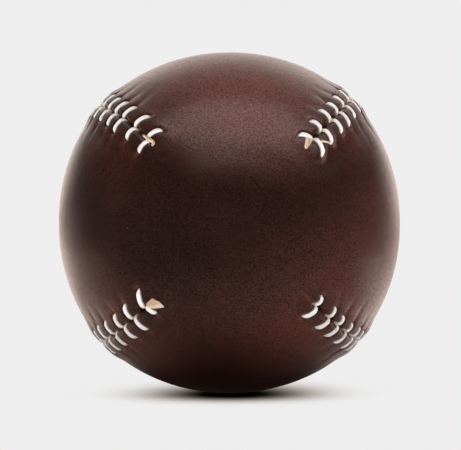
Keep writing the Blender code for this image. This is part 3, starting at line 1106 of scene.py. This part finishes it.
def floor_finish():
    """A white floor that glows: even to the camera down to the shade under the ball, pale where
    it lights the ball, and in a mirrored ray brightest close beside and behind the ball."""
    made, plan, shader, place = start_finish("pale floor")
    made.node_tree.nodes.remove(shader)
    across, depth, _ = plan.split(place)
    aside = plan.maths("ABSOLUTE", across)
    from_ball = plan.vector("LENGTH", place, output="Value")
    pale = plan.ramp(from_ball, 0.047, 0.095) * FLOOR_LIGHT

    # The shadow lies a little in front of the ball and is soft from its rim outwards
    before = depth + SHADOW_BEFORE
    front = plan.maths("MAXIMUM", before / -SHADOW_TO_FRONT, before / SHADOW_TO_BACK)
    side = (across - SHADOW_BESIDE - before * SHADOW_SLANT) / SHADOW_HALF_WIDTH
    rim = plan.maths("SQRT", side * side + front * front) - SHADOW_CORE
    shadow = plan.maths("EXPONENT", 0 - plan.maths("MAXIMUM", rim, 0.0) ** SHADOW_POWER)
    shaded = WHITE_LEVEL * (1 - shadow)

    # In the leather the floor is dim before the ball, rises beside and behind it, and goes over
    # into the horizon far off
    right = plan.ramp(across, *LEFT_TO_RIGHT)
    strip_level = 0.21 - 0.15 * plan.ramp(aside, 0.05, 0.10)
    strip = 0.03 + plan.ramp(depth, -0.090, -0.060) * strip_level
    close = 1 - plan.ramp(aside, 0.13, 0.19)
    near_rise = plan.ramp(depth, right * 0.01 - 0.035, 0.020 + 0.010 * right)
    next_rise = plan.ramp(depth, 0.03, 0.10)
    rise = near_rise * (0.45 + 0.40 * right) + next_rise * (0.58 - 0.70 * right)
    far = plan.ramp(depth - aside * 0.45, -0.02, 0.12) * (1 - close)
    behind = plan.maths("MAXIMUM", depth, 0.0) / from_ball
    farthest = plan.maths("MAXIMUM", horizon_glow(plan, behind, right), FLOOR_FAR_LEAST)
    distant = FLOOR_HALFWAY + (farthest - FLOOR_HALFWAY) * plan.ramp(from_ball, 0.3, 0.8)
    mirrored = strip * (1 - far) + distant * far + rise * close
    clear = from_ball + plan.maths("MAXIMUM", across * 0.15, across * -0.10)
    mirrored = FLOOR_UNDER + (mirrored - FLOOR_UNDER) * plan.ramp(clear, 0.040, 0.060)

    seen = plan.node("ShaderNodeLightPath", output="Is Camera Ray")
    glossy = seen.other("Is Glossy Ray")
    level = pale + (mirrored - pale) * glossy
    level = level + (shaded - level) * seen
    tint = plan.blend(glossy, (1, 1, 1), MIRRORED_TINT)
    tint = plan.blend(shadow * seen, tint, SHADOW_TINT)
    glow = plan.node("ShaderNodeEmission", {"Color": plan.scaled(tint, level)})
    plan.feed(made.node_tree.nodes["Material Output"], {"Surface": glow})
    return made


floor_mesh = bpy.data.meshes.new("floor")
half = FLOOR_SIZE / 2
corners = [(-half, -half), (half, -half), (half, half), (-half, half)]
floor_mesh.from_pydata([(x, y, RESTING_FLAT) for x, y in corners], [], [(0, 1, 2, 3)])
floor_mesh.materials.append(floor_finish())
floor = linked("floor", floor_mesh)

# The room: dim, with the horizon, a ceiling behind the ball, a crown over it and a light in
# each upper corner
ROOM_DIM = 0.03
ROOM_BAND = 0.05
CEILING_LEVEL = 0.48
CEILING_MORE_RIGHT = 0.12
CROWN_LEVEL = 0.5
CROWN_LESS_HIGH = 0.12
CORNER_LEVEL = 0.48
CORNER_LESS_HIGH = 0.2
ROOM_TINT = (1.0, 0.86, 0.79)

world = bpy.data.worlds.new("studio")
world.use_nodes = True
bpy.context.scene.world = world
sky = Plan(world.node_tree)
way, back, up = sky.split(sky.node("ShaderNodeTexCoord", output="Generated"))
back = sky.maths("MAXIMUM", back, 0.0)
aslant = sky.maths("ABSOLUTE", way)
over = back + up * 0.45
horizon = horizon_glow(sky, back, sky.ramp(way, *LEFT_TO_RIGHT))
horizon = horizon * sky.bell(up, 0.24 - aslant * 0.12)
ceiling = CEILING_LEVEL + CEILING_MORE_RIGHT * sky.ramp(way, 0.0, 0.4)
ceiling = sky.ramp(over, 0.55, 0.84) * sky.ramp(up, 0.25, 0.45) * ceiling
crown = CROWN_LEVEL - CROWN_LESS_HIGH * sky.ramp(up, 0.35, 0.5)
crown = sky.ramp(over, 1.02, 1.11) * crown
upper = CORNER_LEVEL - CORNER_LESS_HIGH * sky.ramp(up, 0.3, 0.6)
upper = upper * (1 - sky.ramp(aslant - up, 0.0, 0.3)) * sky.ramp(aslant, 0.06, 0.22)
upper = upper * sky.ramp(up, 0.1, 0.25) * sky.ramp(back, 0.6, 0.85)
room = ROOM_DIM + sky.bell(up, 0.35) * ROOM_BAND + horizon + ceiling + crown + upper
seen = sky.node("ShaderNodeLightPath", output="Is Camera Ray")
backdrop = room + (WHITE_LEVEL - room) * seen
warmth = sky.blend(seen, ROOM_TINT, (1, 1, 1))
sky.feed(world.node_tree.nodes["Background"], {"Strength": backdrop, "Color": warmth})


def area_lamp(title, place, size, watts):
    """A lamp in a place, which shines straight down until it is turned."""
    lamp = bpy.data.lights.new(title, "AREA")
    lamp.shape = "RECTANGLE"
    lamp.size, lamp.size_y = size
    lamp.energy = watts
    made = linked(title, lamp)
    made.location = place
    return made


def face_ball(obj):
    """Turns a lamp or the camera towards the ball."""
    obj.rotation_euler = (-obj.location).to_track_quat("-Z", "Y").to_euler()


SOFTBOX_TURN = math.radians(4)
for title, place, size, radiance in (
    ("softbox", (0.23, -0.19, 0.50), (1.00, 0.48), 1.55),
    ("softbox front", (0.24, -0.36, 0.499), (1.00, 0.14), 0.4),
):
    overhead = area_lamp(title, place, size, radiance * math.pi * size[0] * size[1])
    overhead.rotation_euler.z = SOFTBOX_TURN

FILL_SIZE = (0.15, 0.15)
for title, place, watts in (
    ("right fill", (0.69, -0.40, 0.0), 2.0),
    ("left fill", (-0.70, -0.38, 0.0), 2.9),
):
    fill = area_lamp(title, place, FILL_SIZE, watts)
    face_ball(fill)
    fill.visible_glossy = False

# The camera: the photograph's width and the place of the ball in it, in pixels
FRAME_WIDTH = 461
FOCAL_PIXELS = 3092
BALL_LEFT_OF_MIDDLE = 1.04
BALL_ABOVE_MIDDLE = 2.13
CAMERA_DISTANCE = 0.66
SENSOR_WIDTH = 36.0

lens = bpy.data.cameras.new("camera")
lens.sensor_width = SENSOR_WIDTH
lens.lens = FOCAL_PIXELS / FRAME_WIDTH * SENSOR_WIDTH
lens.shift_x = BALL_LEFT_OF_MIDDLE / FRAME_WIDTH
lens.shift_y = -BALL_ABOVE_MIDDLE / FRAME_WIDTH
lens.clip_start = 0.01
camera = linked("camera", lens)
camera.location = Vector((0, -math.cos(FACE_TILT), math.sin(FACE_TILT))) * CAMERA_DISTANCE
face_ball(camera)
bpy.context.scene.camera = camera
bpy.context.scene.view_settings.view_transform = "Standard"
